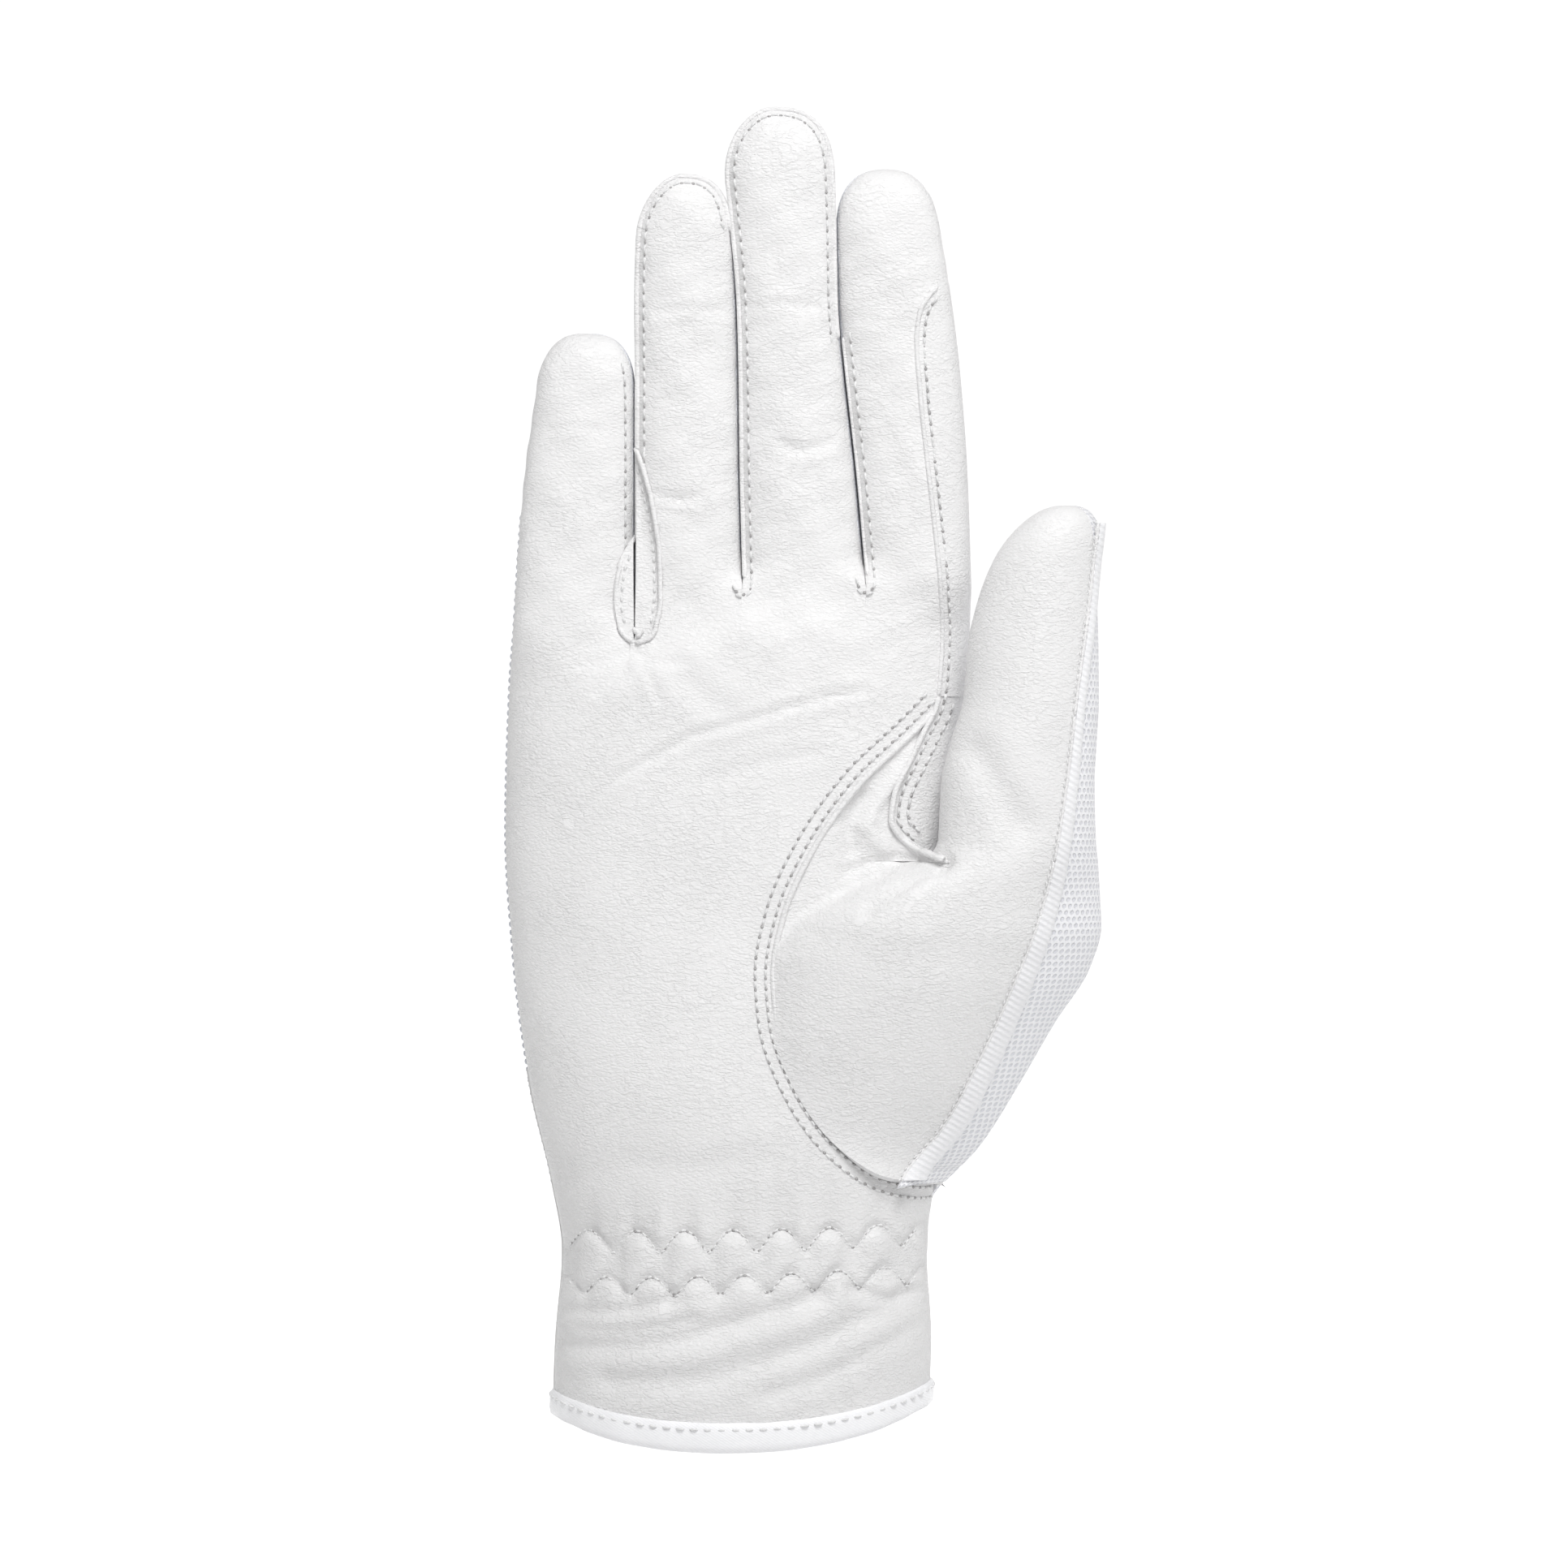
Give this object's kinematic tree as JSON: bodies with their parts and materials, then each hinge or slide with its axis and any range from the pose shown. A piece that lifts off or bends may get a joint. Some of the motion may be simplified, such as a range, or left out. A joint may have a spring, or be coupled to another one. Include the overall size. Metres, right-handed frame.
{
  "type": "golf glove",
  "caption": "Right-hand golf glove: leather palm with fingers and thumb that bend, stretch mesh back, elastic wrist and a hook-and-loop closure tab.",
  "frame": {"origin": "centre of the wrist opening, at the lowest level of the hem", "axes": "+Z from the wrist to the fingertips, -Y out of the palm, +X to the thumb side"},
  "size_m": [0.0988, 0.0446, 0.225],
  "materials": {
    "leather": "soft white grain leather",
    "knit": "white stretch mesh",
    "binding": "white satin tape",
    "elastic": "woven elastic",
    "fastener": "hook and loop tape"
  },
  "bodies": {
    "hand": {"palm_panel": "leather", "index_side_panel": "leather", "thumb_crotch_leather": "leather", "back_mesh_panel": "knit", "back_wrist_thumb_side": "leather", "back_wrist_little_side": "leather", "placket_facing_little_side": "leather", "placket_facing_thumb_side": "leather", "hem_binding": "binding", "wrist_elastic": "elastic", "little_ring_gusset": "leather", "thumb_base_leather": "leather", "thumb_base_mesh": "knit", "loop_patch": "fastener", "tab_anchor": "leather", "little_knuckle_sleeve": "leather", "ring_knuckle_sleeve": "leather", "middle_knuckle_sleeve": "leather", "index_knuckle_sleeve": "leather", "thumb_knuckle_sleeve": "leather"},
    "little_lower": {"little_palm_side": "leather", "little_back": "leather", "little_side_left": "leather", "little_side_right": "knit", "little_middle_sleeve": "leather"},
    "little_tip": {"little_tip_palm_side": "leather", "little_tip_back": "leather"},
    "ring_lower": {"ring_palm_side": "leather", "ring_back": "leather", "ring_side_left": "knit", "ring_side_right": "knit", "ring_middle_sleeve": "leather"},
    "ring_tip": {"ring_tip_palm_side": "leather", "ring_tip_back": "leather"},
    "middle_lower": {"middle_palm_side": "leather", "middle_back": "leather", "middle_side_left": "knit", "middle_side_right": "knit", "middle_middle_sleeve": "leather"},
    "middle_tip": {"middle_tip_palm_side": "leather", "middle_tip_back": "leather"},
    "index_lower": {"index_palm_side": "leather", "index_back": "leather", "index_side_left": "knit", "index_side_right": "leather", "index_middle_sleeve": "leather"},
    "index_tip": {"index_tip_palm_side": "leather", "index_tip_back": "leather"},
    "thumb_lower": {"thumb_lower_leather": "leather", "thumb_lower_mesh": "knit", "thumb_middle_sleeve": "leather"},
    "thumb_tip": {"thumb_tip_palm_side": "leather", "thumb_tip_mesh": "knit"},
    "tab": {"closure_tab": "leather", "hook_patch": "fastener"}
  },
  "joints": [
    {"name": "little_knuckle", "type": "hinge", "parent": "hand", "child": "little_lower", "pos_m": [-0.0287, 0, 0.148], "axis": [1, 0, 0], "range_deg": [-8, 85], "deforming": ["little_knuckle_sleeve"]},
    {"name": "little_middle_joint", "type": "hinge", "parent": "little_lower", "child": "little_tip", "pos_m": [-0.0265, -0.0002, 0.1655], "axis": [1, 0, 0], "range_deg": [0, 85], "deforming": ["little_middle_sleeve"]},
    {"name": "ring_knuckle", "type": "hinge", "parent": "hand", "child": "ring_lower", "pos_m": [-0.0094, 0, 0.154], "axis": [1, 0, 0], "range_deg": [-8, 85], "deforming": ["ring_knuckle_sleeve"]},
    {"name": "ring_middle_joint", "type": "hinge", "parent": "ring_lower", "child": "ring_tip", "pos_m": [-0.00955, -0.0002, 0.181], "axis": [1, 0, 0], "range_deg": [0, 85], "deforming": ["ring_middle_sleeve"]},
    {"name": "middle_knuckle", "type": "hinge", "parent": "hand", "child": "middle_lower", "pos_m": [0.00973, 0, 0.154], "axis": [1, 0, 0], "range_deg": [-8, 85], "deforming": ["middle_knuckle_sleeve"]},
    {"name": "middle_middle_joint", "type": "hinge", "parent": "middle_lower", "child": "middle_tip", "pos_m": [0.0077, -0.00015, 0.185], "axis": [1, 0, 0], "range_deg": [0, 85], "deforming": ["middle_middle_sleeve"]},
    {"name": "index_knuckle", "type": "hinge", "parent": "hand", "child": "index_lower", "pos_m": [0.0287, 0, 0.154], "axis": [1, 0, 0], "range_deg": [-8, 85], "deforming": ["index_knuckle_sleeve"]},
    {"name": "index_middle_joint", "type": "hinge", "parent": "index_lower", "child": "index_tip", "pos_m": [0.0264, -0.00025, 0.182], "axis": [1, 0, 0], "range_deg": [0, 85], "deforming": ["index_middle_sleeve"]},
    {"name": "thumb_knuckle", "type": "hinge", "parent": "hand", "child": "thumb_lower", "pos_m": [0.046, -0.0105, 0.1095], "axis": [1, 0, 0], "range_deg": [0, 45], "deforming": ["thumb_knuckle_sleeve"]},
    {"name": "thumb_middle_joint", "type": "hinge", "parent": "thumb_lower", "child": "thumb_tip", "pos_m": [0.0482, -0.0109, 0.137], "axis": [1, 0, 0], "range_deg": [0, 55], "deforming": ["thumb_middle_sleeve"]},
    {"name": "tab_opening", "type": "hinge", "parent": "hand", "child": "tab", "pos_m": [0.01299, 0.01997, 0.0375], "axis": [0, 0, -1], "range_deg": [0, 140]}
  ]
}
